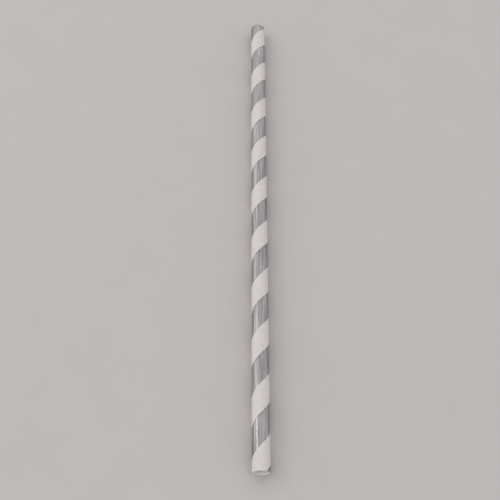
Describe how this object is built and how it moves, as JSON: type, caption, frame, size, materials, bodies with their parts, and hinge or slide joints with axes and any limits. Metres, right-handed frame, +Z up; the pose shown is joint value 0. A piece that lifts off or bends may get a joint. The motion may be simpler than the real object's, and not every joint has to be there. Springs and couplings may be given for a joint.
{
  "type": "paper drinking straw",
  "caption": "Straight paper drinking straw, wound on the slant, open at both ends, white with a slanting silver foil stripe.",
  "frame": {"origin": "centre of the straw's length, on the underside where it touches the table", "axes": "+Z up off the table, +Y along the straw, +X across it to the right"},
  "size_m": [0.006, 0.197, 0.006],
  "materials": {
    "paper": "matt, uncoated paper",
    "foil": "satin silver foil, brushed along the straw"
  },
  "bodies": {
    "root": {"paper_tube": "paper", "foil_stripe": "foil"}
  },
  "joints": []
}
